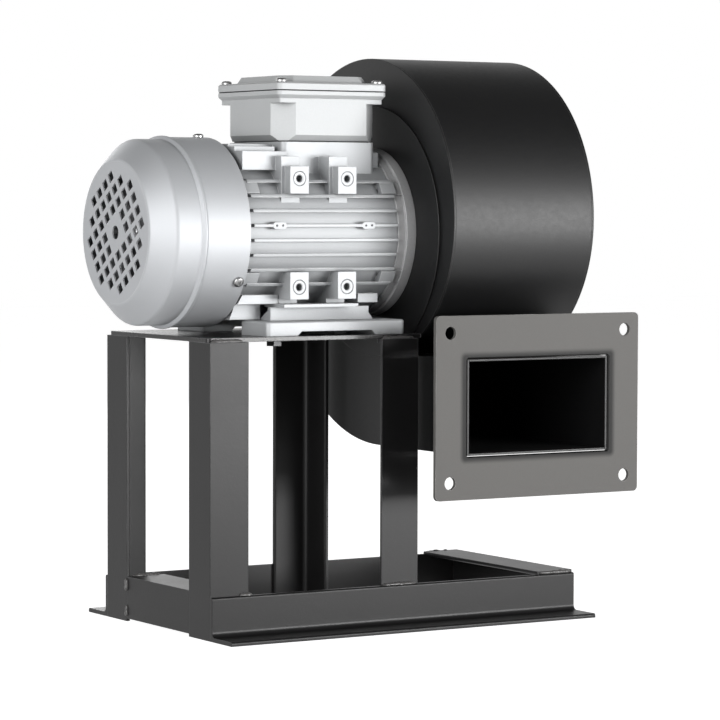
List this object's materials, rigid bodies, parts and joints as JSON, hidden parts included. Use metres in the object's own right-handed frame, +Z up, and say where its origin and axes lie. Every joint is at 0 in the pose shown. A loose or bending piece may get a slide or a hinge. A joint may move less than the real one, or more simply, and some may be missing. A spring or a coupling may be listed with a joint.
{
  "type": "industrial blower",
  "caption": "Direct-drive centrifugal blower: finned motor on a welded angle stand, black sheet scroll with a flanged rectangular outlet at the bottom.",
  "frame": {"origin": "on the floor, under the middle of the whole blower's bounding box", "axes": "+X along the motor shaft from the fan cowl to the blower's inlet, -Y out of the outlet flange, +Z up"},
  "size_m": [0.3544, 0.2652, 0.402],
  "materials": {
    "stand_paint": "satin dark grey paint",
    "cast_aluminium": "die-cast aluminium, silver paint",
    "shield_casting": "cast aluminium, grey",
    "cowl_paint": "satin silver paint",
    "scroll_paint": "semi-gloss black paint",
    "flange_paint": "satin grey paint",
    "inlet_steel": "semi-gloss black paint",
    "wheel_steel": "zinc-coated sheet",
    "zinc_screws": "zinc plated",
    "bearing_steel": "ground steel",
    "shaft_steel": "turned steel",
    "core_steel": "stacked sheets",
    "copper_winding": "varnished copper wire",
    "cage_aluminium": "cast",
    "black_plastic": "matt",
    "black_rubber": "matt",
    "brass_studs": "turned"
  },
  "bodies": {
    "housing": {"leg_front_left": "stand_paint", "leg_front_right": "stand_paint", "leg_rear_left": "stand_paint", "leg_rear_right": "stand_paint", "base_rail_front": "stand_paint", "base_rail_rear": "stand_paint", "base_rail_left": "stand_paint", "base_rail_right": "stand_paint", "motor_plate": "stand_paint", "motor_housing": "cast_aluminium", "motor_foot_front": "cast_aluminium", "motor_foot_rear": "cast_aluminium", "terminal_box": "cast_aluminium", "terminal_box_lid": "cast_aluminium", "front_end_shield": "shield_casting", "rear_end_shield": "shield_casting", "fan_cowl": "cowl_paint", "scroll_wrapper": "scroll_paint", "scroll_back_plate": "scroll_paint", "scroll_front_plate": "scroll_paint", "motor_mount_disc": "scroll_paint", "outlet_flange": "flange_paint", "inlet_ring": "inlet_steel", "cowl_screws": "zinc_screws", "lid_screws": "zinc_screws", "inlet_ring_screws": "zinc_screws", "motor_flange_screws": "zinc_screws", "motor_foot_screws": "zinc_screws", "motor_plate_screws": "zinc_screws", "end_shield_screws": "zinc_screws", "front_bearing_outer_ring": "bearing_steel", "rear_bearing_outer_ring": "bearing_steel", "stator_core": "core_steel", "stator_windings": "copper_winding", "cable_gland": "black_plastic", "blanking_plug": "black_plastic", "terminal_board": "black_plastic", "box_seat_gasket": "black_rubber", "lid_gasket": "black_rubber", "shaft_seal": "black_rubber", "terminal_studs": "brass_studs"},
    "rotor": {"rotor_shaft": "shaft_steel", "rotor_core": "core_steel", "rotor_cage_rings": "cage_aluminium", "cooling_fan": "black_plastic", "fan_circlip": "shaft_steel", "impeller_hub": "wheel_steel", "impeller_key": "shaft_steel", "impeller_back_plate": "wheel_steel", "impeller_blades": "wheel_steel", "impeller_front_ring": "wheel_steel", "impeller_rivets": "zinc_screws", "impeller_washer": "wheel_steel", "impeller_bolt": "zinc_screws", "front_bearing_inner_ring": "bearing_steel", "rear_bearing_inner_ring": "bearing_steel"},
    "front_bearing_set": {"front_bearing_balls": "bearing_steel", "front_bearing_cage": "bearing_steel"},
    "rear_bearing_set": {"rear_bearing_balls": "bearing_steel", "rear_bearing_cage": "bearing_steel"}
  },
  "joints": [
    {"name": "rotor_spin", "type": "hinge", "parent": "housing", "child": "rotor", "pos_m": [0.03175, -0.007, 0.277], "axis": [-1, 0, 0], "continuous": true},
    {"name": "front_bearing_roll", "type": "hinge", "parent": "housing", "child": "front_bearing_set", "pos_m": [0.03175, -0.007, 0.277], "axis": [-1, 0, 0], "continuous": true},
    {"name": "rear_bearing_roll", "type": "hinge", "parent": "housing", "child": "rear_bearing_set", "pos_m": [0.03175, -0.007, 0.277], "axis": [-1, 0, 0], "continuous": true}
  ],
  "couplings": [
    {"joint": "front_bearing_roll", "follows": "rotor_spin", "ratio": 0.382},
    {"joint": "rear_bearing_roll", "follows": "rotor_spin", "ratio": 0.382}
  ]
}
